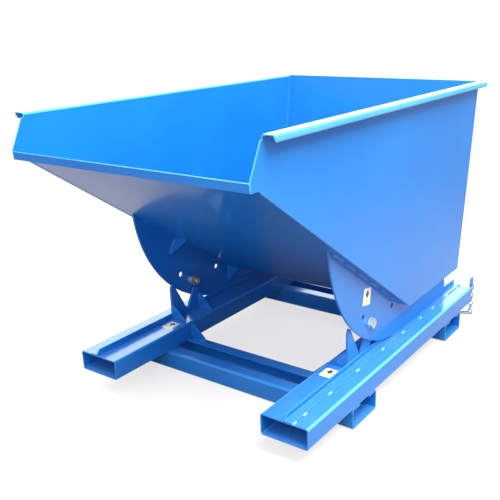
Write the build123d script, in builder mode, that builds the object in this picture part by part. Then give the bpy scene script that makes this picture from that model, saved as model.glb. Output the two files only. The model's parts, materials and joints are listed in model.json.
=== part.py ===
from build123d import *
from math import atan2, cos, radians, sin, sqrt
import os

# Roll-forward tipping skip for a fork truck, as an assembly of separate steel pieces.
#
# Frame: +X right, +Y rear (the truck's side), -Y front (the side it tips to), +Z up.
# Origin: on the ground, under the centre of the overall box. Millimetres.
# A right-hand piece is drawn on +X, and its left-hand twin is its mirror image.

# ------------------------------------------------------------------ base frame
RAIL_OUT = 537          # outer side of each rail, from the middle plane
RAIL_W = 190            # rails are folded boxes that a truck's forks slide into
RAIL_H = 80
RAIL_T = 5
RAIL_R = 8
RAIL_FRONT = -642
RAIL_L = 1448
CHANNEL_W = 178         # two lipped channels carry the rails and stand on the ground
CHANNEL_H = 80
CHANNEL_T = 6
CHANNEL_R = 10
CHANNEL_LIP = 56
CHANNEL_Y = {"front": -261, "rear": 583}
RAIL_X = RAIL_OUT - RAIL_W / 2
RAIL_IN = RAIL_OUT - RAIL_W
RAIL_REAR = RAIL_FRONT + RAIL_L
RAIL_TOP = CHANNEL_H + RAIL_H

# ------------------------------------------------------------------ rolling track
TRACK_T = 5             # an angle iron on each rail: flat leg outboard, upright inboard
TRACK_HEEL = 443
TRACK_LEG = 35
TRACK_UPRIGHT = 25
TRACK_CHAMFER = 16
ROLL_GAP = 0.3          # air between the rocker and the track
ROLL_R = 550            # radius of the rocker's rim
ROLL_Y = 169            # where the rim turns into the flat that the hopper rests on
TRACK_TOP = RAIL_TOP + TRACK_T
ROCKER_FOOT = TRACK_TOP + ROLL_GAP
ROLL_Z = ROCKER_FOOT + ROLL_R

# ------------------------------------------------------------------ hopper
HOPPER_W = 1000         # over the side plates
SHEET = 4
RIM_Z = 1116
FLOOR_Z = 282           # underside of the flat bottom
LIP_Y = -841
LIP_Z = 992             # underside of the sloping floor, carried on to the lip
LIP_TOP = 997
LIP_FOOT = 967
LIP_LEAN = 2
KNUCKLE_Y = 181         # where the slope meets the flat bottom
HEEL_Y = 700            # bottom rear corner
RIM_FRONT = -781
RIM_REAR = 823
FLANGE_OUT = 40         # the side plates' top edges are folded out and down
FLANGE_DOWN = 24
FLANGE_CLIP = 9         # the front ends of the folds lean back
FLANGE_ROOT = 16        # how far below the rim the flat sheet goes over into the folded rim
BEND_R = 8
SIDE_X = HOPPER_W / 2
SLOPE = (LIP_Z - FLOOR_Z) / (KNUCKLE_Y - LIP_Y)
SLOPE_ANGLE = atan2(LIP_Z - FLOOR_Z, KNUCKLE_Y - LIP_Y)
BACK_LEAN = (RIM_REAR - HEEL_Y) / (RIM_Z - FLOOR_Z)

# ------------------------------------------------------------------ rockers, pins and notches
ROCKER_X = 450          # inner face
ROCKER_T = 8
ROCKER_REAR = 652
ROCKER_HOLES = ((-135, 339), (104, 303))
ROCKER_HOLE_R = 11
PIN_Y = -80             # the bolt that rides down into the notch as the hopper rolls
PIN_Z = 298
PIN_R = 12
PIN_HOLE_R = 12.5
SLEEVE_R = 15
SLEEVE_BORE_R = 12.2
WASHER_R = 22
WASHER_T = 4
HEX_R = 18 / cos(radians(30))
HEAD_T = 15
BOLT_CHAMFER = 1.5
NUT_T = 19
NOTCH_X = 433           # inner face of the notched plate
NOTCH_T = 10
NOTCH_FRONT = -221
NOTCH_REAR = -44
NOTCH_ROOT = (-127, 172)
NOTCH_ROOT_R = 16
NOTCH_CORNER_R = 2.5
FRONT_PRONG_TOP = 320
REAR_PRONG_TOP = 262
REAR_PRONG_FLAT = (-77, -60)
PRONG_CUT = (10, 20)    # the prongs' outer corners are cut off
PRONG_NOSE = (19, 6)    # the front prong's top slopes down to its inner corner
SLEEVE_END = NOTCH_X - 4
NUT_END = SLEEVE_END - WASHER_T - NUT_T
BOLT_END = NUT_END - 5

MARKER_R = 8
MARKER_T = 2
MARKER_CHAMFER = 0.8

# ------------------------------------------------------------------ gussets
GUSSET_T = 6
GUSSET_TOE = 8          # the sharp corners are cut off square
NOTCH_GUSSET = (70, 65)         # reach inboard, height
NOTCH_GUSSET_Y = {"front": -221, "rear": -50}
CHANNEL_GUSSET = (75, 78)
CHANNEL_GUSSET_Y = -199
ROCKER_GUSSET = (60, 75)
FRONT_ROCKER_GUSSET_Y = -150
REAR_ROCKER_GUSSET_Y = 190

# ------------------------------------------------------------------ latch under the rear edge
LATCH_PIVOT = (658, 130)
LATCH_T = 14
LATCH_OPEN = -35                # the hook is drawn shut and stored swung back by this angle
LATCH_PIN_R = 8
LATCH_BORE_R = 8.05
LATCH_PIN_HEAD = 4      # how far its heads stand out, sideways and outwards
LATCH_CLEAR = 1.5       # air between the shut hook and the striker
LATCH_NOSE_CLEAR = 3
LATCH_WIDE = 26
LATCH_HEAD = 24
LATCH_NOSE = 12
LATCH_UNDER = 15
LATCH_TAIL = 118        # the tail that a foot or a rope opens it by
LATCH_TAIL_TOP = 32
LATCH_EYE = (104, 18)
EAR_IN = 8
EAR_T = 8
EAR_FOOT = 32           # from the pivot to the front of the ear's foot
EAR_FRONT = 18
EAR_REAR = 12
EAR_ABOVE = 20
EAR_R = 10
STRIKER = (638, 225)
STRIKER_R = 10
STRIKER_LUG_IN = 34
STRIKER_LUG_T = 8
STRIKER_LUG_FOOT = 24
STRIKER_LUG_NECK = 14
STRIKER_LUG_R = 8
EYE_R = 7

# ------------------------------------------------------------------ safety chain
LUG_X = 526             # inner face of the chain's lug
LUG_T = 6
LUG_REAR = 841
LUG_WELD = 35           # how far the lug reaches into the rail
LUG_NECK = 5            # how far its lower part stands out of the rail
LUG_EAR = 32            # height of its ear above the hole
LUG_EAR_R = 12
LUG_INSET = 6           # how far it stays from the rail's wall and bend
LUG_HOLE = (828, 172)
LUG_HOLE_R = 7
LUG_UNDER = 153         # lower edge of its ear, inside the first link
WIRE_R = 3
LINK_BEND = 9           # centre-line radius of a link's ends
LINK_STRAIGHT = 10
LINK_GAP = 0.4
LINK_SIT = 1.2          # air under the first link's wire in the lug's hole
LINK_COUNT = 7
LINK_PITCH = LINK_STRAIGHT + 2 * LINK_BEND - 2 * WIRE_R - LINK_GAP
CHAIN_X = LUG_X + LUG_T / 2
# centre of the first link's upper bend
CHAIN_TOP = LUG_HOLE[1] - LUG_HOLE_R + LINK_SIT + WIRE_R - LINK_BEND
HOOK_WIRE_R = 4
HOOK_L = 70             # between the centre lines of its two ends
HOOK_WIDE_R = 13
HOOK_TIP_R = 6
GATE_R = 3
GATE_END = 52
GATE_L = 28
GATE_GAP = 1.0

os.makedirs("parts", exist_ok=True)


def save(part, name):
    part.label = name
    export_step(part, f"parts/{name}.step")


def save_pair(part, name):
    """Write a right-hand piece and its mirror image."""
    save(part, f"right_{name}")
    with BuildPart() as left:
        mirror(part, about=Plane.YZ)
    save(left.part, f"left_{name}")


def slope_z(y):
    """Height of the sloping floor's underside."""
    return FLOOR_Z + (KNUCKLE_Y - y) * SLOPE


def slope_y(z):
    return KNUCKLE_Y - (z - FLOOR_Z) / SLOPE


def back_y(z):
    """Outer face of the leaning back plate."""
    return HEEL_Y + (z - FLOOR_Z) * BACK_LEAN


def front_y(z):
    """Front edge of a side plate, between the lip and the rim."""
    return RIM_FRONT - (RIM_Z - z) * (RIM_FRONT - LIP_Y) / (RIM_Z - LIP_TOP)


# ================================================================== base frame
with BuildPart() as rail:
    with BuildSketch(Plane.XZ.offset(-RAIL_FRONT)):
        with Locations((RAIL_X, CHANNEL_H + RAIL_H / 2)):
            RectangleRounded(RAIL_W, RAIL_H, RAIL_R)
            RectangleRounded(RAIL_W - 2 * RAIL_T, RAIL_H - 2 * RAIL_T, RAIL_R - RAIL_T, mode=Mode.SUBTRACT)
    extrude(amount=-RAIL_L)
save_pair(rail.part, "rail")

with BuildPart() as track:
    with BuildSketch(Plane.XZ.offset(-RAIL_FRONT)):
        with Locations((TRACK_HEEL, RAIL_TOP)):
            Rectangle(TRACK_LEG, TRACK_T, align=Align.MIN)
            Rectangle(TRACK_T, TRACK_UPRIGHT, align=Align.MIN)
    extrude(amount=-RAIL_L)
    upright_nose = track.edges().filter_by(Axis.X).group_by(Axis.Y)[0].sort_by(Axis.Z)[-1]
    chamfer(upright_nose, length=TRACK_CHAMFER)
save_pair(track.part, "track_angle")

for place, channel_y in CHANNEL_Y.items():
    with BuildPart() as channel:
        with BuildSketch(Plane.YZ):
            with Locations((channel_y, CHANNEL_H / 2)):
                RectangleRounded(CHANNEL_W, CHANNEL_H, CHANNEL_R)
                RectangleRounded(
                    CHANNEL_W - 2 * CHANNEL_T, CHANNEL_H - 2 * CHANNEL_T, CHANNEL_R - CHANNEL_T, mode=Mode.SUBTRACT
                )
            with Locations((channel_y, CHANNEL_H - CHANNEL_T / 2)):
                Rectangle(CHANNEL_W - 2 * CHANNEL_LIP, 2 * CHANNEL_T, mode=Mode.SUBTRACT)
        extrude(amount=RAIL_OUT, both=True)
    save(channel.part, f"{place}_fork_channel")

# ================================================================== notched plates
# Each notch is a wide V that the pin sinks into and climbs out of while the hopper rolls.
# The tall front prong keeps the pin from running off the front of the rails.
cut_in, cut_down = PRONG_CUT
nose_in, nose_down = PRONG_NOSE
flat_front, flat_rear = REAR_PRONG_FLAT
with BuildPart() as notch_plate:
    with BuildSketch(Plane.YZ.offset(NOTCH_X)) as notch_face:
        with BuildLine():
            Polyline(
                (NOTCH_FRONT, RAIL_TOP), (NOTCH_FRONT, FRONT_PRONG_TOP - cut_down),
                (NOTCH_FRONT + cut_in, FRONT_PRONG_TOP), (NOTCH_FRONT + nose_in, FRONT_PRONG_TOP - nose_down),
                NOTCH_ROOT, (flat_front, REAR_PRONG_TOP), (flat_rear, REAR_PRONG_TOP),
                (NOTCH_REAR, REAR_PRONG_TOP - cut_down), (NOTCH_REAR, RAIL_TOP), close=True,
            )
        make_face()
        corners = notch_face.vertices().sort_by(Axis.Z)
        prong_corners = corners.filter_by(lambda v: v.Z > NOTCH_ROOT[1] + 1)
        fillet(corners.filter_by(lambda v: abs(v.Z - NOTCH_ROOT[1]) < 1), radius=NOTCH_ROOT_R)
        fillet(prong_corners, radius=NOTCH_CORNER_R)
    extrude(amount=NOTCH_T)
save_pair(notch_plate.part, "notch_plate")

for place, gusset_y in NOTCH_GUSSET_Y.items():
    reach, height = NOTCH_GUSSET
    with BuildPart() as notch_gusset:
        with BuildSketch(Plane.XZ.offset(-gusset_y)):
            with BuildLine():
                Polyline(
                    (NOTCH_X, RAIL_TOP), (NOTCH_X - reach, RAIL_TOP), (NOTCH_X - reach, RAIL_TOP + GUSSET_TOE),
                    (NOTCH_X - GUSSET_TOE, RAIL_TOP + height), (NOTCH_X, RAIL_TOP + height), close=True,
                )
            make_face()
        extrude(amount=-GUSSET_T)
    save_pair(notch_gusset.part, f"{place}_notch_gusset")

with BuildPart() as channel_gusset:
    reach, height = CHANNEL_GUSSET
    gusset_top = CHANNEL_H + height - RAIL_R
    with BuildSketch(Plane.XZ.offset(-CHANNEL_GUSSET_Y)):
        with BuildLine():
            Polyline(
                (RAIL_IN, CHANNEL_H), (RAIL_IN - reach, CHANNEL_H), (RAIL_IN - reach, CHANNEL_H + GUSSET_TOE),
                (RAIL_IN - GUSSET_TOE, gusset_top), (RAIL_IN, gusset_top), close=True,
            )
        make_face()
    extrude(amount=-GUSSET_T)
save_pair(channel_gusset.part, "channel_gusset")

# ================================================================== hopper shell
# Side plate: a flat sheet with its outline closed round the lip's hem, and a rim folded out and down.
with BuildPart() as side_plate:
    flange_root = RIM_Z - FLANGE_ROOT
    with BuildSketch(Plane.YZ.offset(SIDE_X - SHEET)):
        with BuildLine():
            Polyline(
                (front_y(flange_root), flange_root), (LIP_Y, LIP_TOP), (LIP_Y + LIP_LEAN, LIP_FOOT),
                (slope_y(LIP_FOOT), LIP_FOOT), (KNUCKLE_Y, FLOOR_Z), (HEEL_Y, FLOOR_Z),
                (back_y(flange_root), flange_root), close=True,
            )
        make_face()
    extrude(amount=SHEET)
    with BuildSketch(Plane.XZ.offset(-RIM_FRONT)) as rim_profile:
        with Locations((SIDE_X - SHEET, RIM_Z)):
            Rectangle(SHEET + FLANGE_OUT, FLANGE_DOWN, align=(Align.MIN, Align.MAX))
        outer_bends = rim_profile.vertices().group_by(Axis.Z)[-1]
        fillet(outer_bends, radius=BEND_R)
        with BuildSketch(Plane.XZ.offset(-RIM_FRONT), mode=Mode.SUBTRACT) as rim_hollow:
            with Locations((SIDE_X, RIM_Z - SHEET)):
                Rectangle(FLANGE_OUT - SHEET, FLANGE_DOWN, align=(Align.MIN, Align.MAX))
            fillet(rim_hollow.vertices().group_by(Axis.Z)[-1], radius=BEND_R - SHEET)
        with Locations((SIDE_X - SHEET, flange_root)):
            Rectangle(SHEET, FLANGE_DOWN, align=(Align.MIN, Align.MAX), mode=Mode.SUBTRACT)
    extrude(amount=-(back_y(flange_root) - RIM_FRONT))
    with BuildSketch(Plane.YZ.offset(SIDE_X + BEND_R)):
        with BuildLine():
            Polyline(
                (RIM_FRONT, RIM_Z - BEND_R), (RIM_FRONT, RIM_Z - FLANGE_DOWN),
                (RIM_FRONT + FLANGE_CLIP, RIM_Z - FLANGE_DOWN), close=True,
            )
        make_face()
    extrude(amount=FLANGE_OUT, mode=Mode.SUBTRACT)
save_pair(side_plate.part, "side_plate")

# Floor: one sheet, flat at the bottom and sloping up to the lip, where it is hemmed down and back.
SHEET_UP = SHEET / cos(SLOPE_ANGLE)
with BuildPart() as floor_plate:
    with BuildSketch(Plane.YZ):
        with BuildLine():
            Polyline(
                (LIP_Y, LIP_TOP), (LIP_Y + LIP_LEAN, LIP_FOOT), (slope_y(LIP_FOOT), LIP_FOOT),
                (KNUCKLE_Y, FLOOR_Z), (back_y(FLOOR_Z) - SHEET, FLOOR_Z),
                (back_y(FLOOR_Z + SHEET) - SHEET, FLOOR_Z + SHEET),
                (slope_y(FLOOR_Z + SHEET - SHEET_UP), FLOOR_Z + SHEET), close=True,
            )
        make_face()
        with BuildLine():
            hem_front = LIP_Y + LIP_LEAN + SHEET
            hem_foot = LIP_FOOT + SHEET
            Polyline(
                (hem_front, slope_z(hem_front)), (hem_front, hem_foot), (slope_y(hem_foot), hem_foot), close=True,
            )
        make_face(mode=Mode.SUBTRACT)
    extrude(amount=SIDE_X - SHEET, both=True)
save(floor_plate.part, "floor_plate")

with BuildPart() as back_plate:
    with BuildSketch(Plane.YZ):
        with BuildLine():
            Polyline(
                (HEEL_Y, FLOOR_Z), (RIM_REAR, RIM_Z), (RIM_REAR - SHEET, RIM_Z), (HEEL_Y - SHEET, FLOOR_Z),
                close=True,
            )
        make_face()
    extrude(amount=SIDE_X - SHEET, both=True)
save(back_plate.part, "back_plate")

# ================================================================== rockers
# The rim is an arc about the roll centre from straight below it up to the sloping floor.
along = (KNUCKLE_Y - ROLL_Y) * cos(SLOPE_ANGLE) - (FLOOR_Z - ROLL_Z) * sin(SLOPE_ANGLE)
clear = (KNUCKLE_Y - ROLL_Y) * sin(SLOPE_ANGLE) + (FLOOR_Z - ROLL_Z) * cos(SLOPE_ANGLE)
reach_up = along + sqrt(ROLL_R**2 - clear**2)
RIM_END = (KNUCKLE_Y - reach_up * cos(SLOPE_ANGLE), FLOOR_Z + reach_up * sin(SLOPE_ANGLE))
RIM_SWEEP = atan2(ROLL_Y - RIM_END[0], ROLL_Z - RIM_END[1])
RIM_MIDDLE = (ROLL_Y - ROLL_R * sin(RIM_SWEEP / 2), ROLL_Z - ROLL_R * cos(RIM_SWEEP / 2))

with BuildPart() as rocker:
    with BuildSketch(Plane.YZ.offset(ROCKER_X)):
        with BuildLine():
            ThreePointArc(RIM_END, RIM_MIDDLE, (ROLL_Y, ROCKER_FOOT))
            Polyline(
                (ROLL_Y, ROCKER_FOOT), (ROCKER_REAR, ROCKER_FOOT), (ROCKER_REAR, FLOOR_Z),
                (KNUCKLE_Y, FLOOR_Z), RIM_END,
            )
        make_face()
        with Locations(*ROCKER_HOLES):
            Circle(ROCKER_HOLE_R, mode=Mode.SUBTRACT)
        with Locations((PIN_Y, PIN_Z)):
            Circle(PIN_HOLE_R, mode=Mode.SUBTRACT)
    extrude(amount=ROCKER_T)
save_pair(rocker.part, "rocker_plate")


def rocker_gusset(corner_plane):
    """A triangle in the corner between a rocker's inner face and the floor above it."""
    reach, height = ROCKER_GUSSET
    with BuildPart() as gusset:
        with BuildSketch(corner_plane):
            with BuildLine():
                Polyline(
                    (0, 0), (-reach, 0), (-reach, -GUSSET_TOE), (-GUSSET_TOE, -height), (0, -height), close=True,
                )
            make_face()
        extrude(amount=GUSSET_T / 2, both=True)
    return gusset.part


front_corner = Plane(
    origin=(ROCKER_X, FRONT_ROCKER_GUSSET_Y, slope_z(FRONT_ROCKER_GUSSET_Y)),
    x_dir=(1, 0, 0), z_dir=(0, -cos(SLOPE_ANGLE), sin(SLOPE_ANGLE)),
)
rear_corner = Plane(origin=(ROCKER_X, REAR_ROCKER_GUSSET_Y, FLOOR_Z), x_dir=(1, 0, 0), z_dir=(0, -1, 0))
save_pair(rocker_gusset(front_corner), "front_rocker_gusset")
save_pair(rocker_gusset(rear_corner), "rear_rocker_gusset")

# ================================================================== tipping pins
# A bolt from outside, a sleeve where it crosses the notch, and a washer and nut inboard of the notch.
HEAD_X = ROCKER_X + ROCKER_T + WASHER_T

with BuildPart() as pin_bolt:
    with BuildSketch(Plane.YZ.offset(HEAD_X)):
        with Locations((PIN_Y, PIN_Z)):
            RegularPolygon(HEX_R, 6)
    extrude(amount=HEAD_T)
    chamfer(pin_bolt.faces().sort_by(Axis.X)[-1].edges(), length=BOLT_CHAMFER)
    with BuildSketch(Plane.YZ.offset(BOLT_END)):
        with Locations((PIN_Y, PIN_Z)):
            Circle(PIN_R)
    extrude(amount=HEAD_X - BOLT_END)
    chamfer(pin_bolt.faces().sort_by(Axis.X)[0].edges(), length=BOLT_CHAMFER)
save_pair(pin_bolt.part, "pin_bolt")

with BuildPart() as pin_washers:
    for washer_x in (ROCKER_X + ROCKER_T, SLEEVE_END - WASHER_T):
        with BuildSketch(Plane.YZ.offset(washer_x)):
            with Locations((PIN_Y, PIN_Z)):
                Circle(WASHER_R)
                Circle(PIN_HOLE_R, mode=Mode.SUBTRACT)
        extrude(amount=WASHER_T)
save_pair(pin_washers.part, "pin_washers")

with BuildPart() as pin_sleeve:
    with BuildSketch(Plane.YZ.offset(SLEEVE_END)):
        with Locations((PIN_Y, PIN_Z)):
            Circle(SLEEVE_R)
            Circle(SLEEVE_BORE_R, mode=Mode.SUBTRACT)
    extrude(amount=ROCKER_X - SLEEVE_END)
save_pair(pin_sleeve.part, "pin_sleeve")

with BuildPart() as pin_nut:
    with BuildSketch(Plane.YZ.offset(NUT_END)):
        with Locations((PIN_Y, PIN_Z)):
            RegularPolygon(HEX_R, 6)
            Circle(SLEEVE_BORE_R, mode=Mode.SUBTRACT)
    extrude(amount=NUT_T)
save_pair(pin_nut.part, "pin_nut")

# ================================================================== roll centre
# A small button on the left side plate shows the centre that the hopper rolls about. It travels with the
# hopper and doesn't turn.
with BuildPart() as roll_centre_marker:
    with BuildSketch(Plane.YZ.offset(-SIDE_X - ROLL_GAP - MARKER_T)):
        with Locations((ROLL_Y, ROLL_Z)):
            Circle(MARKER_R)
    extrude(amount=MARKER_T)
    chamfer(roll_centre_marker.faces().sort_by(Axis.X)[0].edges(), length=MARKER_CHAMFER)
save(roll_centre_marker.part, "roll_centre_marker")

# ================================================================== latch
# Two ears on the rear channel hold a pin that the hook turns on. Shut, the hook's nose lies over the
# striker bar under the hopper. It is stored open, swung towards the rear.
pivot_y, pivot_z = LATCH_PIVOT
striker_y, striker_z = STRIKER
ear_top = pivot_z + EAR_ABOVE

with BuildPart() as latch_bracket:
    for ear_x in (EAR_IN, -EAR_IN - EAR_T):
        with BuildSketch(Plane.YZ.offset(ear_x)) as ear:
            with BuildLine():
                Polyline(
                    (pivot_y - EAR_FOOT, CHANNEL_H), (pivot_y - EAR_FRONT, ear_top), (pivot_y + EAR_REAR, ear_top),
                    (pivot_y + EAR_REAR, CHANNEL_H), close=True,
                )
            make_face()
            fillet(ear.vertices().group_by(Axis.Z)[-1], radius=EAR_R)
            with Locations(LATCH_PIVOT):
                Circle(LATCH_BORE_R, mode=Mode.SUBTRACT)
        extrude(amount=EAR_T)
save(latch_bracket.part, "latch_bracket")

with BuildPart() as latch_pin:
    pin_end = EAR_IN + EAR_T + ROLL_GAP
    with BuildSketch(Plane.YZ.offset(-pin_end)):
        with Locations(LATCH_PIVOT):
            Circle(LATCH_PIN_R)
    extrude(amount=2 * pin_end)
    for head_x in (-pin_end - LATCH_PIN_HEAD, pin_end):
        with BuildSketch(Plane.YZ.offset(head_x)):
            with Locations(LATCH_PIVOT):
                Circle(LATCH_PIN_R + LATCH_PIN_HEAD)
        extrude(amount=LATCH_PIN_HEAD)
save(latch_pin.part, "latch_pin")

swing = radians(LATCH_OPEN)
hook_plane = Plane(origin=(-LATCH_T / 2, pivot_y, pivot_z), x_dir=(0, cos(swing), sin(swing)), z_dir=(1, 0, 0))
shank_front = striker_y + STRIKER_R + LATCH_CLEAR - pivot_y
shank_rear = shank_front + LATCH_WIDE
nose_front = striker_y - STRIKER_R - LATCH_NOSE_CLEAR - pivot_y
nose_under = striker_z + STRIKER_R + LATCH_CLEAR - pivot_z
with BuildPart() as latch_hook:
    with BuildSketch(hook_plane):
        with BuildLine():
            Polyline(
                (shank_front, -LATCH_UNDER), (shank_front, nose_under), (nose_front, nose_under),
                (nose_front, nose_under + LATCH_NOSE), (shank_front, nose_under + LATCH_HEAD),
                (shank_rear, nose_under + LATCH_HEAD), (shank_rear, LATCH_EYE[1]),
                (LATCH_TAIL - EYE_R, LATCH_TAIL_TOP), (LATCH_TAIL, LATCH_TAIL_TOP - EYE_R),
                (LATCH_TAIL, 0), (shank_rear, -LATCH_UNDER), close=True,
            )
        make_face()
        Circle(LATCH_BORE_R, mode=Mode.SUBTRACT)
        with Locations(LATCH_EYE):
            Circle(EYE_R, mode=Mode.SUBTRACT)
    extrude(amount=LATCH_T)
save(latch_hook.part, "latch_hook")

with BuildPart() as striker:
    with BuildSketch(Plane.YZ.offset(-STRIKER_LUG_IN)):
        with Locations(STRIKER):
            Circle(STRIKER_R)
    extrude(amount=2 * STRIKER_LUG_IN)
    for lug_x in (STRIKER_LUG_IN, -STRIKER_LUG_IN - STRIKER_LUG_T):
        with BuildSketch(Plane.YZ.offset(lug_x)) as striker_lug:
            with BuildLine():
                Polyline(
                    (striker_y - STRIKER_LUG_FOOT, FLOOR_Z),
                    (striker_y - STRIKER_LUG_NECK, striker_z - STRIKER_LUG_NECK),
                    (striker_y + STRIKER_LUG_NECK, striker_z - STRIKER_LUG_NECK),
                    (striker_y + STRIKER_LUG_FOOT, FLOOR_Z), close=True,
                )
            make_face()
            fillet(striker_lug.vertices().group_by(Axis.Z)[0], radius=STRIKER_LUG_R)
        extrude(amount=STRIKER_LUG_T)
save(striker.part, "latch_striker")

# ================================================================== chain
# The lug is welded inside the right rail's end, and its ear stands out behind with the chain's hole.
hole_y, hole_z = LUG_HOLE
lug_foot = CHANNEL_H + RAIL_T + LUG_INSET
lug_step = RAIL_TOP - RAIL_T - LUG_INSET
ear_front = RAIL_REAR + LINK_SIT
ear_tip = hole_z + LUG_EAR
with BuildPart() as chain_lug:
    with BuildSketch(Plane.YZ.offset(LUG_X)) as lug_face:
        with BuildLine():
            Polyline(
                (RAIL_REAR - LUG_WELD, lug_foot), (RAIL_REAR - LUG_WELD, lug_step), (ear_front, lug_step),
                (ear_front, ear_tip), (LUG_REAR, ear_tip), (LUG_REAR, LUG_UNDER),
                (RAIL_REAR + LUG_NECK, LUG_UNDER), (RAIL_REAR + LUG_NECK, lug_foot), close=True,
            )
        make_face()
        fillet(lug_face.vertices().group_by(Axis.Z)[-1], radius=LUG_EAR_R)
        with Locations(LUG_HOLE):
            Circle(LUG_HOLE_R, mode=Mode.SUBTRACT)
    extrude(amount=LUG_T)
save(chain_lug.part, "chain_lug")

for index in range(LINK_COUNT):
    upper = CHAIN_TOP - index * LINK_PITCH
    centre = Vector(CHAIN_X, hole_y, upper - LINK_STRAIGHT / 2)
    across = (1, 0, 0) if index % 2 == 0 else (0, 1, 0)
    facing = (0, -1, 0) if index % 2 == 0 else (1, 0, 0)
    link_plane = Plane(origin=centre, x_dir=across, z_dir=facing)
    with BuildPart() as link:
        with BuildLine(link_plane) as link_line:
            half = LINK_STRAIGHT / 2
            Line((LINK_BEND, -half), (LINK_BEND, half))
            ThreePointArc((LINK_BEND, half), (0, half + LINK_BEND), (-LINK_BEND, half))
            Line((-LINK_BEND, half), (-LINK_BEND, -half))
            ThreePointArc((-LINK_BEND, -half), (0, -half - LINK_BEND), (LINK_BEND, -half))
        with BuildSketch(Plane(origin=link_line.wire() @ 0, z_dir=link_line.wire() % 0)):
            Circle(WIRE_R)
        sweep(path=link_line.wire())
    save(link.part, f"chain_link_{index + 1}")

# Snap hook: a pear-shaped ring hung in the last link, its narrow end lying on the ground.
link_bottom_wire = CHAIN_TOP - (LINK_COUNT - 1) * LINK_PITCH - LINK_STRAIGHT - LINK_BEND
HOOK_Z = link_bottom_wire + WIRE_R + HOOK_WIRE_R + LINK_GAP
HOOK_DIP = atan2(HOOK_Z - HOOK_WIRE_R, sqrt(HOOK_L**2 - (HOOK_Z - HOOK_WIRE_R) ** 2))
ring_plane = Plane(
    origin=(CHAIN_X, hole_y, HOOK_Z),
    x_dir=(-cos(HOOK_DIP), 0, -sin(HOOK_DIP)), z_dir=(sin(HOOK_DIP), 0, -cos(HOOK_DIP)),
)
# In the ring's plane its wide end is at the start of the X axis and its tip at HOOK_L. The side of -Y is
# cut open for the gate.
tip_x = HOOK_L - HOOK_TIP_R
lean = atan2(HOOK_WIDE_R - HOOK_TIP_R, tip_x - HOOK_WIDE_R)
near_up = (HOOK_WIDE_R + HOOK_WIDE_R * sin(lean), HOOK_WIDE_R * cos(lean))
far_up = (tip_x + HOOK_TIP_R * sin(lean), HOOK_TIP_R * cos(lean))


def side_point(x):
    """A point on the gate's side of the ring."""
    return (x, (x - near_up[0]) * sin(lean) / cos(lean) - near_up[1])


with BuildPart() as snap_hook:
    with BuildLine(ring_plane) as ring_line:
        Line(side_point(GATE_END - GATE_L), side_point(near_up[0]))
        ThreePointArc(side_point(near_up[0]), (0, 0), near_up)
        Line(near_up, far_up)
        ThreePointArc(far_up, (HOOK_L, 0), side_point(far_up[0]))
        Line(side_point(far_up[0]), side_point(GATE_END))
    ring_path = ring_line.wire()
    with BuildSketch(Plane(origin=ring_path @ 0, z_dir=ring_path % 0)):
        Circle(HOOK_WIRE_R)
    sweep(path=ring_path)
save(snap_hook.part, "snap_hook")

with BuildPart() as snap_gate:
    with BuildLine(ring_plane) as gate_line:
        Line(side_point(GATE_END - GATE_GAP), side_point(GATE_END - GATE_L + GATE_GAP))
    with BuildSketch(Plane(origin=gate_line.line @ 0, z_dir=gate_line.line % 0)):
        Circle(GATE_R)
    sweep(path=gate_line.line)
save(snap_gate.part, "snap_gate")
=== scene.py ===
import json
import random
from math import atan2, cos, pi, radians, sin, sqrt, tan

import bmesh
import bpy
from mathutils import Matrix, Vector

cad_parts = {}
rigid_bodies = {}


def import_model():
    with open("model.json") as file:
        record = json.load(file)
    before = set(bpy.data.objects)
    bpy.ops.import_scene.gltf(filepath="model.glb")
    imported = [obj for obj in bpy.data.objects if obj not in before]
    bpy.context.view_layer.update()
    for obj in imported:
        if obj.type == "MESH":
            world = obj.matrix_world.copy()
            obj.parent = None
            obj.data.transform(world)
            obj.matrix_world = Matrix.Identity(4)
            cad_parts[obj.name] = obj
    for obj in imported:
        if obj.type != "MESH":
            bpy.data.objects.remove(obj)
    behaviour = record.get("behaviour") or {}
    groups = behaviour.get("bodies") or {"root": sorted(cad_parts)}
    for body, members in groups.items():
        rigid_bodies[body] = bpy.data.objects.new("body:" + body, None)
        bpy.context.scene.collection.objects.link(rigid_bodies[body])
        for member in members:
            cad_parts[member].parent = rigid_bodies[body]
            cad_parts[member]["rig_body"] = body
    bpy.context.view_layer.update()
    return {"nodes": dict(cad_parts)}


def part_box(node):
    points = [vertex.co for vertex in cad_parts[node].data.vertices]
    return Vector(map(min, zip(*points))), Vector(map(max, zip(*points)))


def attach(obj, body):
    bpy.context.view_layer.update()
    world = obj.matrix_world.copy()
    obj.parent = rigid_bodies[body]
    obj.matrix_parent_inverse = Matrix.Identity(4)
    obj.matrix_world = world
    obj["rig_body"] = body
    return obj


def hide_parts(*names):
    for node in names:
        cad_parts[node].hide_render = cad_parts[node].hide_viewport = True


# Looks for a roll-forward tipping skip: gloss blue paint on folded and welded sheet steel, zinc-plated
# pins and chain. Metres, +X right, +Y to the rear, +Z up, the ground at zero.

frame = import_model()
random.seed(7)

SIDES = {"right": 1, "left": -1}
MM = 0.001
RIGHT, REAR, UP = Vector((1, 0, 0)), Vector((0, 1, 0)), Vector((0, 0, 1))


# ============================================================================ materials
def new_material(name):
    """A node material, with its tree, its shader and the object's own coordinates."""
    material = bpy.data.materials.new(name)
    material.use_nodes = True
    tree = material.node_tree
    shader = tree.nodes["Principled BSDF"]
    place = tree.nodes.new("ShaderNodeTexCoord").outputs["Object"]
    return material, tree, shader, place


def noise(tree, place, scale, detail=3.0, rough=0.5):
    """Noise over the object's own coordinates. scale is how many features go to a metre."""
    node = tree.nodes.new("ShaderNodeTexNoise")
    node.inputs["Scale"].default_value = scale
    node.inputs["Detail"].default_value = detail
    node.inputs["Roughness"].default_value = rough
    tree.links.new(place, node.inputs["Vector"])
    return node.outputs["Fac"]


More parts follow.
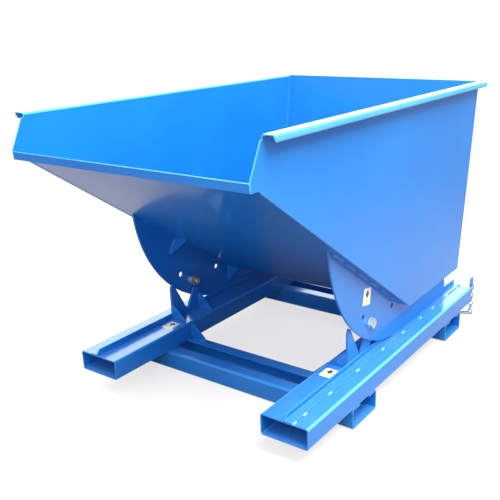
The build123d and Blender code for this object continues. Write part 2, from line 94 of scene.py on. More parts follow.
def spread(tree, value, low, high, start=0.3, end=0.7):
    """A number between low and high, as value goes from start to end."""
    node = tree.nodes.new("ShaderNodeMapRange")
    node.inputs["From Min"].default_value = start
    node.inputs["From Max"].default_value = end
    node.inputs["To Min"].default_value = low
    node.inputs["To Max"].default_value = high
    tree.links.new(value, node.inputs["Value"])
    return node.outputs["Result"]


def ramp(tree, value, *stops):
    """A colour from value. Each stop is (place, colour)."""
    node = tree.nodes.new("ShaderNodeValToRGB")
    elements = node.color_ramp.elements
    while len(elements) < len(stops):
        elements.new(0.5)
    for element, (position, colour) in zip(elements, stops):
        element.position = position
        element.color = (*colour, 1.0)
    tree.links.new(value, node.inputs["Fac"])
    return node.outputs["Color"]


def mix(tree, amount, under, over):
    """The colour under, covered by amount with the colour over."""
    node = tree.nodes.new("ShaderNodeMix")
    node.data_type = "RGBA"
    tree.links.new(amount, node.inputs[0])
    for socket, colour in ((node.inputs[6], under), (node.inputs[7], over)):
        if isinstance(colour, tuple):
            socket.default_value = (*colour, 1.0)
        else:
            tree.links.new(colour, socket)
    return node.outputs[2]


def times(tree, first, second):
    """The product of two values."""
    node = tree.nodes.new("ShaderNodeMath")
    node.operation = "MULTIPLY"
    tree.links.new(first, node.inputs[0])
    tree.links.new(second, node.inputs[1])
    return node.outputs[0]


def bump(tree, height, strength, distance, under=None):
    """A bumped normal, on top of the normal under."""
    node = tree.nodes.new("ShaderNodeBump")
    node.inputs["Strength"].default_value = strength
    node.inputs["Distance"].default_value = distance
    tree.links.new(height, node.inputs["Height"])
    if under is not None:
        tree.links.new(under, node.inputs["Normal"])
    return node.outputs["Normal"]


DUST_GRAINS = (0.32, 0.42, 0.55)
# the film on faces that look up: partly dust, partly a painted sheen of the sky
DUST_AND_SHEEN_FILM = (0.50, 0.62, 0.68)
FILM_COVER = 0.07           # how much of the blue the film hides on a level face
WAVE_HEIGHT = 6 * MM        # of the slow waves, before their strength
PEEL_HEIGHT = 0.2 * MM      # of the orange peel, before its strength


def paint(
    name, peel=0.0, wave=0.26, dust=0.015, dark=(0.007, 0.158, 0.585), light=(0.010, 0.183, 0.650)
):
    """Gloss blue enamel with the slow waves of welded sheet, and a pale film on faces that look up: partly
    dust, and partly a painted sheen of the sky.

    peel and wave are the strengths of the orange peel and the waves. dust is the most that grains of dust
    hide. The blue drifts between dark and light."""
    material, tree, shader, place = new_material(name)
    blue = ramp(tree, noise(tree, place, 2.6, 2.0), (0.30, dark), (0.72, light))
    cloud = noise(tree, place, 5.0, 2.0)
    facing = tree.nodes.new("ShaderNodeSeparateXYZ")
    tree.links.new(tree.nodes.new("ShaderNodeNewGeometry").outputs["Normal"], facing.inputs["Vector"])
    # the film is partly dust and partly painted sheen, strongest on level faces that look up
    level = spread(tree, facing.outputs["Z"], 0.0, FILM_COVER, 0.75, 1.0)
    film = times(tree, level, spread(tree, cloud, 0.55, 1.0, 0.35, 0.65))
    specks = spread(tree, noise(tree, place, 240.0, 4.0, 0.7), 0.0, 1.0, 0.52, 0.75)
    grains = times(tree, specks, spread(tree, cloud, 0.0, dust, 0.45, 0.70))
    filmed = mix(tree, film, blue, DUST_AND_SHEEN_FILM)
    tree.links.new(mix(tree, grains, filmed, DUST_GRAINS), shader.inputs["Base Color"])
    # the whole range of the cloud counts, so that the gloss has no sharp borders
    tree.links.new(spread(tree, cloud, 0.25, 0.35, 0.0, 1.0), shader.inputs["Roughness"])
    surface = bump(tree, noise(tree, place, 2.1, 0.0), wave, WAVE_HEIGHT)
    if peel:
        surface = bump(tree, noise(tree, place, 300.0, 0.0), peel, PEEL_HEIGHT, under=surface)
    tree.links.new(surface, shader.inputs["Normal"])
    shader.inputs["Specular IOR Level"].default_value = 0.36
    shader.inputs["Coat Weight"].default_value = 0.5
    shader.inputs["Coat Roughness"].default_value = 0.10
    return material


def zinc(
    name, dark=(0.42, 0.54, 0.62), light=(0.68, 0.80, 0.88), tint=(0.60, 0.66, 0.62), tinted=0.3
):
    """Bright zinc plate: fine spangle between dark and light, and a passivated tint in patches."""
    material, tree, shader, place = new_material(name)
    spangle = ramp(tree, noise(tree, place, 260.0, 3.0), (0.30, dark), (0.70, light))
    patch = spread(tree, noise(tree, place, 45.0, 2.0), 0.0, tinted, 0.42, 0.66)
    tree.links.new(mix(tree, patch, spangle, tint), shader.inputs["Base Color"])
    tree.links.new(spread(tree, noise(tree, place, 120.0, 4.0), 0.22, 0.46), shader.inputs["Roughness"])
    tree.links.new(bump(tree, noise(tree, place, 700.0, 2.0), 0.15, 0.0003), shader.inputs["Normal"])
    shader.inputs["Metallic"].default_value = 0.7
    return material


def vinyl(name, colour, worn):
    """Vinyl of a sticker: faint mottling between colour and worn, and a soft sheen."""
    material, tree, shader, place = new_material(name)
    mottle = noise(tree, place, 60.0, 3.0)
    tree.links.new(ramp(tree, mottle, (0.35, worn), (0.65, colour)), shader.inputs["Base Color"])
    tree.links.new(spread(tree, mottle, 0.28, 0.42), shader.inputs["Roughness"])
    tree.links.new(bump(tree, noise(tree, place, 500.0, 2.0), 0.08, 0.0002), shader.inputs["Normal"])
    return material


BLUE = paint("blue_enamel")
WELD_BLUE = paint("blue_enamel_on_weld", peel=0.3, wave=0.0, dust=0.03)
# painted highlight: a lighter blue for the rockers' outer stitches, lighter than the shade they sit in
ROCKER_WELD_HIGHLIGHT_BLUE = paint(
    "blue_enamel_painted_weld_highlight", peel=0.2, wave=0.0, dark=(0.012, 0.200, 0.620), light=(0.018, 0.240, 0.680)
)
# painted highlight: a much paler blue for stitches that catch the light
STITCH_HIGHLIGHT_BLUE = paint(
    "blue_enamel_painted_stitch_highlight", peel=0.2, wave=0.0, dark=(0.120, 0.460, 0.800), light=(0.200, 0.560, 0.850)
)
# a fainter painted highlight, for the folds of the left rail and of the fork channels
FOLD_HIGHLIGHT_BLUE = paint(
    "blue_enamel_painted_fold_highlight", wave=0.0, dark=(0.014, 0.205, 0.640), light=(0.020, 0.240, 0.700)
)
# painted highlight: a paler blue that stands for light caught on edges, folds and the side plates' rim
EDGE_HIGHLIGHT_BLUE = paint(
    "blue_enamel_painted_edge_highlight", wave=0.0, dark=(0.060, 0.340, 0.760), light=(0.090, 0.410, 0.820)
)
ZINC = zinc("zinc_plate")
CHAIN_ZINC = zinc(
    "chain_zinc", dark=(0.30, 0.36, 0.44), light=(0.60, 0.69, 0.80), tint=(0.52, 0.60, 0.70), tinted=0.15
)
DARK_ZINC = zinc(
    "nut_zinc", dark=(0.10, 0.10, 0.09), light=(0.34, 0.32, 0.26), tint=(0.50, 0.42, 0.22), tinted=0.6
)
LABEL_WHITE = vinyl("label_white", (0.88, 0.89, 0.86), (0.76, 0.78, 0.76))
LABEL_YELLOW = vinyl("label_yellow", (0.88, 0.78, 0.34), (0.78, 0.70, 0.34))
LABEL_DARK = vinyl("label_dark", (0.05, 0.055, 0.06), (0.09, 0.09, 0.10))


# ============================================================================ mesh helpers
FOLD_STRIP = 6 * MM         # the strips of a fold's bend are narrower than this
FLAT_TURN = radians(2)      # faces that turn less are one flat
SHARP_TURN = radians(38)    # faces that turn more meet in an edge
LONG_EDGE = 0.1             # a fold's edge is longer than this
RIM_INNER = 0.5015          # the rim's fold is further out than this, the flat side plate isn't


def add_piece(name, bm, material, body, crease=35.0):
    """Turn a bmesh into a finished piece that rides on a CAD body. Turns over crease degrees stay sharp."""
    bmesh.ops.recalc_face_normals(bm, faces=bm.faces)
    mesh = bpy.data.meshes.new(name)
    bm.to_mesh(mesh)
    bm.free()
    piece = bpy.data.objects.new(name, mesh)
    bpy.context.scene.collection.objects.link(piece)
    mesh.materials.append(material)
    mesh.shade_smooth()
    mesh.set_sharp_from_angle(angle=radians(crease))
    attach(piece, body)
    return piece


def dress(node, material):
    """Put a material on a CAD piece that keeps its own mesh."""
    mesh = frame["nodes"][node].data
    mesh.materials.clear()
    mesh.materials.append(material)


def weight_normals(piece):
    """Keep the flats flat, and let only the narrow bends shade round. The result is applied."""
    modifier = piece.modifiers.new("weighted", "WEIGHTED_NORMAL")
    modifier.keep_sharp = True
    bpy.context.view_layer.update()
    evaluated = piece.evaluated_get(bpy.context.evaluated_depsgraph_get())
    finished = bpy.data.meshes.new_from_object(evaluated)
    finished.name = piece.name
    piece.modifiers.clear()
    piece.data = finished


def is_fold(face):
    """Whether a face is one of the narrow strips that make up a folded plate's bend."""
    width = face.calc_area() / max(edge.calc_length() for edge in face.edges)
    turns = [edge.calc_face_angle(0) for edge in face.edges if len(edge.link_faces) == 2]
    return width < FOLD_STRIP and any(FLAT_TURN < turn < SHARP_TURN for turn in turns)


def soften(node, radius, bends=(), bend_radius=0.0, bright="", rim=None, highlight_paint=EDGE_HIGHLIGHT_BLUE):
    """Stand for a CAD plate with a copy whose edges are rounded over, as paint and deburring leave them.

    bends holds places of folds, as (x, y, z) with None along the fold, which get bend_radius. bright says
    whether the edges, the folds or both get a painted highlight, a paler blue that stands for light caught on
    them; its material is the last argument. Those bends get the painted highlight too, and so do the faces of
    the side plate's rim, above rim."""
    # material indices: 1 is the painted highlight, on the rounded edges and on the folds
    rounded = 1 if "edges" in bright else 0
    folded = 1 if bright else 0
    source = frame["nodes"][node]
    bm = bmesh.new()
    bm.from_mesh(source.data)
    bmesh.ops.remove_doubles(bm, verts=bm.verts, dist=0.01 * MM)
    bmesh.ops.dissolve_limit(bm, angle_limit=radians(0.5), verts=bm.verts, edges=bm.edges)
    for line in bends:
        fold = [
            e for e in bm.edges if e.calc_length() > LONG_EDGE
            and all(p is None or abs(v.co[i] - p) < MM for v in e.verts for i, p in enumerate(line))
        ]
        bmesh.ops.bevel(
            bm, geom=fold, offset=bend_radius, segments=4, profile=0.5, affect="EDGES", clamp_overlap=True,
            material=folded,
        )
    for face in bm.faces:
        middle = face.calc_center_median()
        # the faces of the rim's fold get the painted highlight too
        above = rim is not None and middle.z > rim and abs(middle.x) > RIM_INNER
        if above or ("folds" in bright and is_fold(face)):
            face.material_index = 1
    sharp = [e for e in bm.edges if len(e.link_faces) == 2 and e.calc_face_angle(0) > SHARP_TURN]
    bmesh.ops.bevel(
        bm, geom=sharp, offset=radius, segments=2, profile=0.5, affect="EDGES", clamp_overlap=True,
        material=rounded,
    )
    piece = add_piece(f"{node}_painted", bm, BLUE, source["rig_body"], crease=50.0)
    if bright:
        piece.data.materials.append(highlight_paint)
    weight_normals(piece)
    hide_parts(node)


def skin(bm, rings, closed_loop=False):
    """Faces between neighbouring rings of vertices. The ends are capped, or a closed loop's ends meet."""
    count = len(rings)
    for i in range(count if closed_loop else count - 1):
        a, b = rings[i], rings[(i + 1) % count]
        for j in range(len(a)):
            k = (j + 1) % len(a)
            bm.faces.new((a[j], a[k], b[k], b[j]))
    if not closed_loop:
        bm.faces.new(rings[0])
        bm.faces.new(list(reversed(rings[-1])))


# ============================================================================ welds
RIPPLE = 3.2 * MM           # from one ripple of a bead to the next
SWELL = 11 * RIPPLE         # from one slow swelling to the next
PROFILE_POINTS = 6          # across a bead's face


def bead(bm, start, end, along_a, along_b, size):
    """One fillet weld in the corner at start-end: a convex rippled bead with rounded ends."""
    start, end, along_a, along_b = Vector(start), Vector(end), Vector(along_a), Vector(along_b)
    length = (end - start).length
    direction = (end - start) / length
    steps = max(6, int(length / (RIPPLE / 3)))      # three rings to a ripple
    phase = random.random() * 2 * pi
    wander = random.random() * 2 * pi
    rings = []
    for i in range(steps + 1):
        s = length * i / steps
        near_end = min(s, length - s) / (1.2 * size)
        taper = sqrt(max(0.0, 1 - (1 - min(1.0, near_end)) ** 2))
        ripple = 1 + 0.07 * sin(2 * pi * s / RIPPLE + phase) + 0.05 * sin(2 * pi * s / SWELL + wander)
        reach = size * ripple * max(0.12, taper)
        centre = start + direction * s
        ring = [bm.verts.new(centre - 0.25 * size * (along_a + along_b))]
        for j in range(PROFILE_POINTS):
            turn = j / (PROFILE_POINTS - 1) * pi / 2
            # between a straight fillet and a round one
            bulge = 0.80 + 0.20 * abs(cos(2 * turn))
            ring.append(bm.verts.new(centre + reach * bulge * (along_a * cos(turn) + along_b * sin(turn))))
        rings.append(ring)
    skin(bm, rings)


def weld(name, body, runs, size, material=WELD_BLUE):
    """A named weld of one or more beads. Each run is (start, end, along_a, along_b)."""
    bm = bmesh.new()
    for start, end, along_a, along_b in runs:
        bead(bm, start, end, along_a, along_b, size)
    add_piece(name, bm, material, body, crease=80.0)


def stitches(start, end, along_a, along_b, length, gap):
    """Short beads of about one length, evenly spread along a line."""
    start, end = Vector(start), Vector(end)
    total = (end - start).length
    direction = (end - start) / total
    count = max(1, int((total + gap) / (length + gap)))
    pitch = total / count
    runs = []
    for i in range(count):
        middle = start + direction * pitch * (i + 0.5)
        half = direction * length / 2 * random.uniform(0.88, 1.1)
        runs.append((middle - half, middle + half, along_a, along_b))
    return runs


# ============================================================================ stage, light, camera
FLOOR_RADIUS = 4.6
FLOOR_DROP = 0.6 * MM       # below the ground, clear of the channels' undersides
FLOOR_LIFT = 0.68           # a glow that only the camera sees, which takes the floor near to white
HORIZON, ZENITH = 0.40, 1.10    # the sky's strength in the paint and on the object
BACKGROUND = 1.05           # and straight to the camera


def build_floor():
    """A pale round floor that fades out into the white of the studio."""
    bpy.ops.mesh.primitive_circle_add(
        vertices=96, radius=FLOOR_RADIUS, fill_type="NGON", location=(0, 0, -FLOOR_DROP)
    )
    floor = bpy.context.object
    floor.name = "studio_floor"
    material, tree, shader, place = new_material("studio_floor")
    stone = ramp(
        tree, noise(tree, place, 0.8, 3.0), (0.3, (0.28, 0.245, 0.235)), (0.7, (0.31, 0.275, 0.265))
    )
    tree.links.new(stone, shader.inputs["Base Color"])
    shader.inputs["Roughness"].default_value = 0.75
    shader.inputs["Emission Color"].default_value = (1.0, 1.0, 1.0, 1.0)
    seen = tree.nodes.new("ShaderNodeLightPath").outputs["Is Camera Ray"]
    tree.links.new(spread(tree, seen, 0.0, FLOOR_LIFT, 0.0, 1.0), shader.inputs["Emission Strength"])
    distance = tree.nodes.new("ShaderNodeVectorMath")
    distance.operation = "LENGTH"
    tree.links.new(place, distance.inputs[0])
    fade = spread(tree, distance.outputs["Value"], 1.0, 0.0, 1.9, 4.4)
    tree.links.new(fade, shader.inputs["Alpha"])
    floor.data.materials.append(material)


LIGHT_AIM = (0, 0, 0.7)


def softbox(name, place, width, height, radiance, colour=(1, 1, 1), mirrored_in_paint=True):
    """A soft rectangular light aimed at the skip, unseen by the camera itself."""
    data = bpy.data.lights.new(name, "AREA")
    data.shape = "RECTANGLE"
    data.size, data.size_y = width, height
    data.energy = radiance * pi * width * height
    data.color = colour
    light = bpy.data.objects.new(name, data)
    light.location = place
    light.rotation_euler = (Vector(LIGHT_AIM) - Vector(place)).to_track_quat("-Z", "Y").to_euler()
    light.visible_camera = False
    light.visible_glossy = mirrored_in_paint
    bpy.context.scene.collection.objects.link(light)


def build_light():
    """A sky that is brighter overhead, and five soft lights."""
    world = bpy.data.worlds.new("studio")
    bpy.context.scene.world = world
    world.use_nodes = True
    nodes, links = world.node_tree.nodes, world.node_tree.links
    background = nodes["Background"]
    background.inputs["Color"].default_value = (1.0, 1.0, 1.0, 1.0)
    seen = nodes.new("ShaderNodeLightPath").outputs["Is Camera Ray"]
    direction = nodes.new("ShaderNodeSeparateXYZ")
    links.new(nodes.new("ShaderNodeTexCoord").outputs["Generated"], direction.inputs["Vector"])
    sky = spread(world.node_tree, direction.outputs["Z"], HORIZON, ZENITH, 0.05, 0.75)
    strength = nodes.new("ShaderNodeMix")
    links.new(seen, strength.inputs["Factor"])
    links.new(sky, strength.inputs["A"])
    strength.inputs["B"].default_value = BACKGROUND
    links.new(strength.outputs["Result"], background.inputs["Strength"])
    softbox("back_sky", (-3.2, 4.8, 2.9), 8.0, 4.0, 3.2, (0.86, 1.0, 1.0))
    softbox("top_sky", (-0.4, -0.3, 4.2), 4.0, 4.0, 1.0)
    softbox("key", (2.2, -0.8, 4.6), 3.4, 3.4, 15.0, (1.0, 0.98, 0.80), mirrored_in_paint=False)
    softbox("right_fill", (4.5, 1.2, 1.9), 3.0, 2.0, 2.2, mirrored_in_paint=False)
    softbox("front_fill", (1.5, -4.2, 2.9), 4.0, 2.0, 2.8)
    bpy.context.scene.view_settings.view_transform = "Standard"


CAMERA_PLACE = (1.5925, -2.2537, 1.4058)
CAMERA_TURNS = (34.44, 19.41, -1.29)    # yaw, pitch and roll in degrees
CAMERA_LENS = 50.55
CAMERA_SHIFT = (-0.0825, 0.0246)


def build_camera():
    """The camera, from its yaw, pitch and roll."""
    yaw, pitch, roll = (radians(turn) for turn in CAMERA_TURNS)
    back = Vector((sin(yaw) * cos(pitch), -cos(yaw) * cos(pitch), sin(pitch)))
    level_right = Vector((cos(yaw), sin(yaw), 0))
    level_up = back.cross(level_right)
    right = level_right * cos(roll) + level_up * sin(roll)
    up = level_up * cos(roll) - level_right * sin(roll)
    data = bpy.data.cameras.new("camera")
    data.sensor_width = 36
    data.lens = CAMERA_LENS
    data.shift_x, data.shift_y = CAMERA_SHIFT
    data.clip_end = 200
    camera = bpy.data.objects.new("camera", data)
    camera.matrix_world = Matrix(
        [(right[i], up[i], back[i], CAMERA_PLACE[i]) for i in range(3)] + [(0, 0, 0, 1)]
    )
    bpy.context.scene.collection.objects.link(camera)
    bpy.context.scene.camera = camera


# ============================================================================ hopper
SHEET = 4 * MM
LIP_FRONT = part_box("floor_plate")[0].y
LIP_TOP_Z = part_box("floor_plate")[1].z
FLOOR_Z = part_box("floor_plate")[0].z
HEEL_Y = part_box("back_plate")[0].y + SHEET
RIM_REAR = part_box("back_plate")[1].y
RIM_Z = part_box("right_side_plate")[1].z
RIM_DEPTH = 30 * MM         # the rim's fold ends higher than this below the rim
KNUCKLE_Y = 0.181           # where the slope meets the flat bottom
LIP_RISE = 5 * MM           # the lip's top is above the line of the slope's underside
SLOPE_ANGLE = atan2(LIP_TOP_Z - LIP_RISE - FLOOR_Z, KNUCKLE_Y - LIP_FRONT)
UP_SLOPE = Vector((0, -cos(SLOPE_ANGLE), sin(SLOPE_ANGLE)))
OVER_SLOPE = Vector((0, sin(SLOPE_ANGLE), cos(SLOPE_ANGLE)))
BACK_ANGLE = atan2(RIM_REAR - HEEL_Y, RIM_Z - FLOOR_Z)
UP_BACK = Vector((0, sin(BACK_ANGLE), cos(BACK_ANGLE)))
BACK_SEAM = 0.83            # how far up the back its bead goes
WALL_X = 0.496              # inner face of a side plate
ROCKER_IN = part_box("right_rocker_plate")[0].x
ROCKER_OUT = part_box("right_rocker_plate")[1].x
ROCKER_FLAT = (0.20, 0.64)  # where a rocker's welds start and end on the flat bottom
GUSSET_EDGES = (0.056, 0.072)   # a rocker gusset's edge along the floor and along the rocker
GUSSET_HALF = 3 * MM        # half of a gusset's thickness


def on_slope(x, y, lift=0.0):
    """A point on the sloping floor's underside, or lift above it."""
    z = FLOOR_Z + (KNUCKLE_Y - y) * tan(SLOPE_ANGLE)
    return Vector((x, y, z)) + OVER_SLOPE * lift


def mirrored(runs, side):
    """The right side's runs, or for side -1 the same on the left."""
    flip = Vector((side, 1, 1))
    return [tuple(Vector(v) * flip for v in run) for run in runs]


def build_hopper():
    lip_top = (None, LIP_FRONT, LIP_TOP_Z)
    knuckle = (None, KNUCKLE_Y, FLOOR_Z)
    # bright puts the painted highlight on the lip's bends and edges, and on the side plates' edges, folds and
    # rim
    soften("floor_plate", 0.7 * MM, bends=(lip_top, knuckle), bend_radius=4.5 * MM, bright="edges")
    soften("back_plate", 0.7 * MM, bright="edges")
    for name, side in SIDES.items():
        soften(f"{name}_side_plate", 1.0 * MM, bright="edges folds", rim=RIM_Z - RIM_DEPTH)
        soften(f"{name}_rocker_plate", 0.9 * MM)
        soften(f"{name}_front_rocker_gusset", 0.6 * MM)
        soften(f"{name}_rear_rocker_gusset", 0.6 * MM)
        build_wall_seam(name, side)
        build_rocker_welds(name, side)
        edge = [
            (
                on_slope(WALL_X, LIP_FRONT + 0.045), on_slope(WALL_X, KNUCKLE_Y),
                -RIGHT * 0.6, -OVER_SLOPE * 0.35,
            ),
            ((WALL_X, KNUCKLE_Y, FLOOR_Z), (WALL_X, HEEL_Y - 0.004, FLOOR_Z), -RIGHT * 0.6, -UP * 0.35),
        ]
        weld(f"{name}_floor_edge_seam", "hopper", mirrored(edge, side), 5 * MM)
        build_rocker_gusset_welds(name, side)
    heel_y, heel_z = HEEL_Y - SHEET, FLOOR_Z + SHEET
    weld("heel_seam", "hopper", [((-WALL_X, heel_y, heel_z), (WALL_X, heel_y, heel_z), -REAR, UP)], 4.5 * MM)
    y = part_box("latch_striker")[0].y + 0.0228       # the middle of the striker's lugs
    lugs = [
        ((x, y - 0.020, FLOOR_Z), (x, y + 0.020, FLOOR_Z), away, -UP)
        for x, away in ((0.042, RIGHT), (-0.042, -RIGHT))
    ]
    weld("striker_lug_welds", "hopper", lugs, 5 * MM)
    soften("latch_striker", 0.5 * MM)


def build_wall_seam(name, side):
    """The long bead inside, along the slope, the flat bottom and the back."""
    top = FLOOR_Z + SHEET
    corner = Vector((WALL_X, HEEL_Y - SHEET, FLOOR_Z))
    inside = [
        (
            on_slope(WALL_X, LIP_FRONT + 0.03, SHEET), on_slope(WALL_X, KNUCKLE_Y - 0.004, SHEET),
            -RIGHT, OVER_SLOPE,
        ),
        ((WALL_X, KNUCKLE_Y, top), (WALL_X, HEEL_Y - 0.01, top), -RIGHT, UP),
        (corner + UP_BACK * 0.006, corner + UP_BACK * BACK_SEAM, -RIGHT, -REAR),
    ]
    weld(f"{name}_wall_seam", "hopper", mirrored(inside, side), 4.5 * MM)


def build_rocker_welds(name, side):
    """Broken beads where a rocker meets the floor, on its outer and its inner face."""
    start, end = ROCKER_FLAT
    outer = stitches(
        on_slope(ROCKER_OUT, -0.365), on_slope(ROCKER_OUT, 0.165), RIGHT, -OVER_SLOPE, 0.085, 0.022
    )
    outer += stitches((ROCKER_OUT, start, FLOOR_Z), (ROCKER_OUT, end, FLOOR_Z), RIGHT, -UP, 0.058, 0.045)
    # the outer stitches carry the painted highlight
    weld(f"{name}_rocker_outer_stitches", "hopper", mirrored(outer, side), 7 * MM, ROCKER_WELD_HIGHLIGHT_BLUE)
    inner = stitches(
        on_slope(ROCKER_IN, -0.360), on_slope(ROCKER_IN, 0.165), -RIGHT, -OVER_SLOPE, 0.050, 0.070
    )
    inner += stitches((ROCKER_IN, start, FLOOR_Z), (ROCKER_IN, end, FLOOR_Z), -RIGHT, -UP, 0.050, 0.070)
    weld(f"{name}_rocker_inner_stitches", "hopper", mirrored(inner, side), 5.5 * MM)


def build_rocker_gusset_welds(name, side):
    """Beads on both faces of the rear gusset, which hangs from the flat bottom, and of the front one."""
    along_floor, along_rocker = GUSSET_EDGES
    start = 6 * MM
    rear_low, rear_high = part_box("right_rear_rocker_gusset")
    middle = (rear_low.y + rear_high.y) / 2
    runs = []
    for sign in (-1, 1):
        y = middle + sign * GUSSET_HALF
        away = REAR * sign
        runs.append(((ROCKER_IN, y, FLOOR_Z - along_rocker), (ROCKER_IN, y, FLOOR_Z - start), -RIGHT, away))
        runs.append(((ROCKER_IN - along_floor, y, FLOOR_Z), (ROCKER_IN - start, y, FLOOR_Z), away, -UP))
        away = UP_SLOPE * sign
        top = on_slope(ROCKER_IN, -0.150) + away * GUSSET_HALF
        runs.append((top - OVER_SLOPE * along_rocker, top - OVER_SLOPE * start, -RIGHT, away))
        runs.append((top - RIGHT * along_floor, top - RIGHT * start, away, -OVER_SLOPE))
    weld(f"{name}_rocker_gusset_welds", "hopper", mirrored(runs, side), 4 * MM)


# ============================================================================ base
RAIL_LOW, RAIL_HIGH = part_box("right_rail")
TRACK_LOW, TRACK_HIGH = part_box("right_track_angle")
NOTCH_LOW, NOTCH_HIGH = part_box("right_notch_plate")
# middles of the short beads along a track angle, which are unevenly spaced
TOE_STITCHES = (-0.631, -0.568, -0.407, -0.210, -0.006, 0.176, 0.346, 0.477, 0.640, 0.760)
HEEL_STITCHES = (-0.520, -0.300, -0.169, 0.011, 0.190, 0.400, 0.620)
STITCH_HALF = 12 * MM
CHANNEL_LIP = 56 * MM       # width of a fork channel's folded lips
CHANNEL_CORNER = 10 * MM    # outer radius of its bends
RAIL_WALL = 5 * MM


def build_base():
    for name, side in SIDES.items():
        # the right rail's folds get the brighter painted highlight, the left rail's a fainter one
        soften(f"{name}_rail", 0.8 * MM, bright="folds", highlight_paint=EDGE_HIGHLIGHT_BLUE if side > 0 else FOLD_HIGHLIGHT_BLUE)
        # the track angles' edges and folds get the paler painted highlight too
        soften(f"{name}_track_angle", 0.8 * MM, bright="edges folds")
        soften(f"{name}_notch_plate", 0.9 * MM)
        for gusset in ("front_notch_gusset", "rear_notch_gusset", "channel_gusset"):
            soften(f"{name}_{gusset}", 0.6 * MM)
        build_track_welds(name, side)
        build_notch_welds(name, side)
        build_rail_welds(name, side)
    for place in ("front", "rear"):
        # the channels' folds get the fainter painted highlight
        soften(f"{place}_fork_channel", 0.8 * MM, bright="folds", highlight_paint=FOLD_HIGHLIGHT_BLUE)
    soften("chain_lug", 0.5 * MM)
    soften("latch_bracket", 0.6 * MM)
    build_small_welds()


def build_track_welds(name, side):
    """Short beads along the toe of the track's flat leg and along its heel."""
    half, top, toe, heel = STITCH_HALF, TRACK_LOW.z, TRACK_HIGH.x, TRACK_LOW.x
    toes = [((toe, y - half, top), (toe, y + half, top), RIGHT, UP) for y in TOE_STITCHES]
    heels = [((heel, y - half, top), (heel, y + half, top), -RIGHT, UP) for y in HEEL_STITCHES]
    # painted highlight on the stitches: on both toes, and on the heel only on the right side, where the light
    # falls
    heel_paint_lit_right = STITCH_HIGHLIGHT_BLUE if side > 0 else WELD_BLUE
    weld(f"{name}_track_toe_stitches", "base", mirrored(toes, side), 4.5 * MM, STITCH_HIGHLIGHT_BLUE)
    weld(f"{name}_track_heel_stitches", "base", mirrored(heels, side), 4 * MM, heel_paint_lit_right)


def build_notch_welds(name, side):
    """Beads at the foot of the notch plate and of its gussets, and up the gussets where they meet it."""
    top, inner = RAIL_HIGH.z, NOTCH_LOW.x
    front_gusset, rear_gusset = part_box("right_front_notch_gusset"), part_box("right_rear_notch_gusset")
    runs = [((inner, front_gusset[1].y + 0.004, top), (inner, rear_gusset[0].y - 0.004, top), -RIGHT, UP)]
    for low, high in (front_gusset, rear_gusset):
        for y, away in ((low.y, -REAR), (high.y, REAR)):
            if away.y > 0 or low.y > NOTCH_LOW.y:
                runs.append(((low.x + 0.004, y, top), (inner - 0.004, y, top), away, UP))
            if NOTCH_LOW.y < y < NOTCH_HIGH.y:
                runs.append(((inner, y, top + 0.006), (inner, y, high.z - 0.004), away, -RIGHT))
    weld(f"{name}_notch_welds", "base", mirrored(runs, side), 4.5 * MM)


def build_rail_welds(name, side):
    """The rail's seams on the channels, the channel gusset, and the folded rail's own seam inside."""
    bottom, inner, outer = RAIL_LOW.z, RAIL_LOW.x, RAIL_HIGH.x
    corner = CHANNEL_CORNER
    runs = []
    for place in ("front", "rear"):
        low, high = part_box(f"{place}_fork_channel")
        for y, away in ((low.y, -REAR), (high.y, REAR)):
            across = y - away.y * corner * 0.55
            height = bottom - corner * 0.15
            runs.append(((inner + 0.008, across, height), (outer - 0.012, across, height), away, -UP * 0.6))
        front_lip = (low.y + corner, low.y + CHANNEL_LIP - 0.004)
        rear_lip = (high.y - CHANNEL_LIP + 0.004, high.y - corner)
        for start, end in (front_lip, rear_lip):
            runs.append(((inner + 0.006, start, bottom), (inner + 0.006, end, bottom), -RIGHT, UP))
    weld(f"{name}_rail_seams", "base", mirrored(runs, side), 6 * MM)
    low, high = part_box("right_channel_gusset")
    gusset = []
    for y, away in ((low.y, -REAR), (high.y, REAR)):
        gusset.append(((low.x + 0.004, y, low.z), (high.x - 0.008, y, low.z), away, UP))
        gusset.append(((high.x, y, low.z + 0.010), (high.x, y, high.z - 0.004), away, -RIGHT))
    weld(f"{name}_channel_gusset_welds", "base", mirrored(gusset, side), 4 * MM)
    seam_x = (inner + outer) / 2 - 0.012
    start = (seam_x, RAIL_LOW.y + 0.006, bottom + RAIL_WALL)
    end = (seam_x, RAIL_LOW.y + 0.30, bottom + RAIL_WALL)
    seam = [(start, end, RIGHT * 1.2, UP * 0.35), (start, end, -RIGHT * 1.2, UP * 0.35)]
    weld(f"{name}_rail_inner_seam", "base", mirrored(seam, side), 3.5 * MM)


def build_small_welds():
    """The welds of the chain's lug and of the latch's two ears."""
    x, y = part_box("chain_lug")[0].x, RAIL_HIGH.y
    runs = [
        ((x, y - 0.030, 0.093), (x, y - 0.002, 0.093), -RIGHT, UP * 0.6),
        ((x, y - 0.0325, 0.095), (x, y - 0.0325, 0.145), -RIGHT * 0.7, -REAR * 0.7),
    ]
    weld("chain_lug_welds", "base", runs, 4 * MM)
    low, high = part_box("latch_bracket")
    ears = [
        ((x, low.y + 0.003, low.z), (x, high.y - 0.003, low.z), away, UP)
        for x, away in ((low.x, -RIGHT), (high.x, RIGHT))
    ]
    weld("latch_ear_welds", "base", ears, 4.5 * MM)


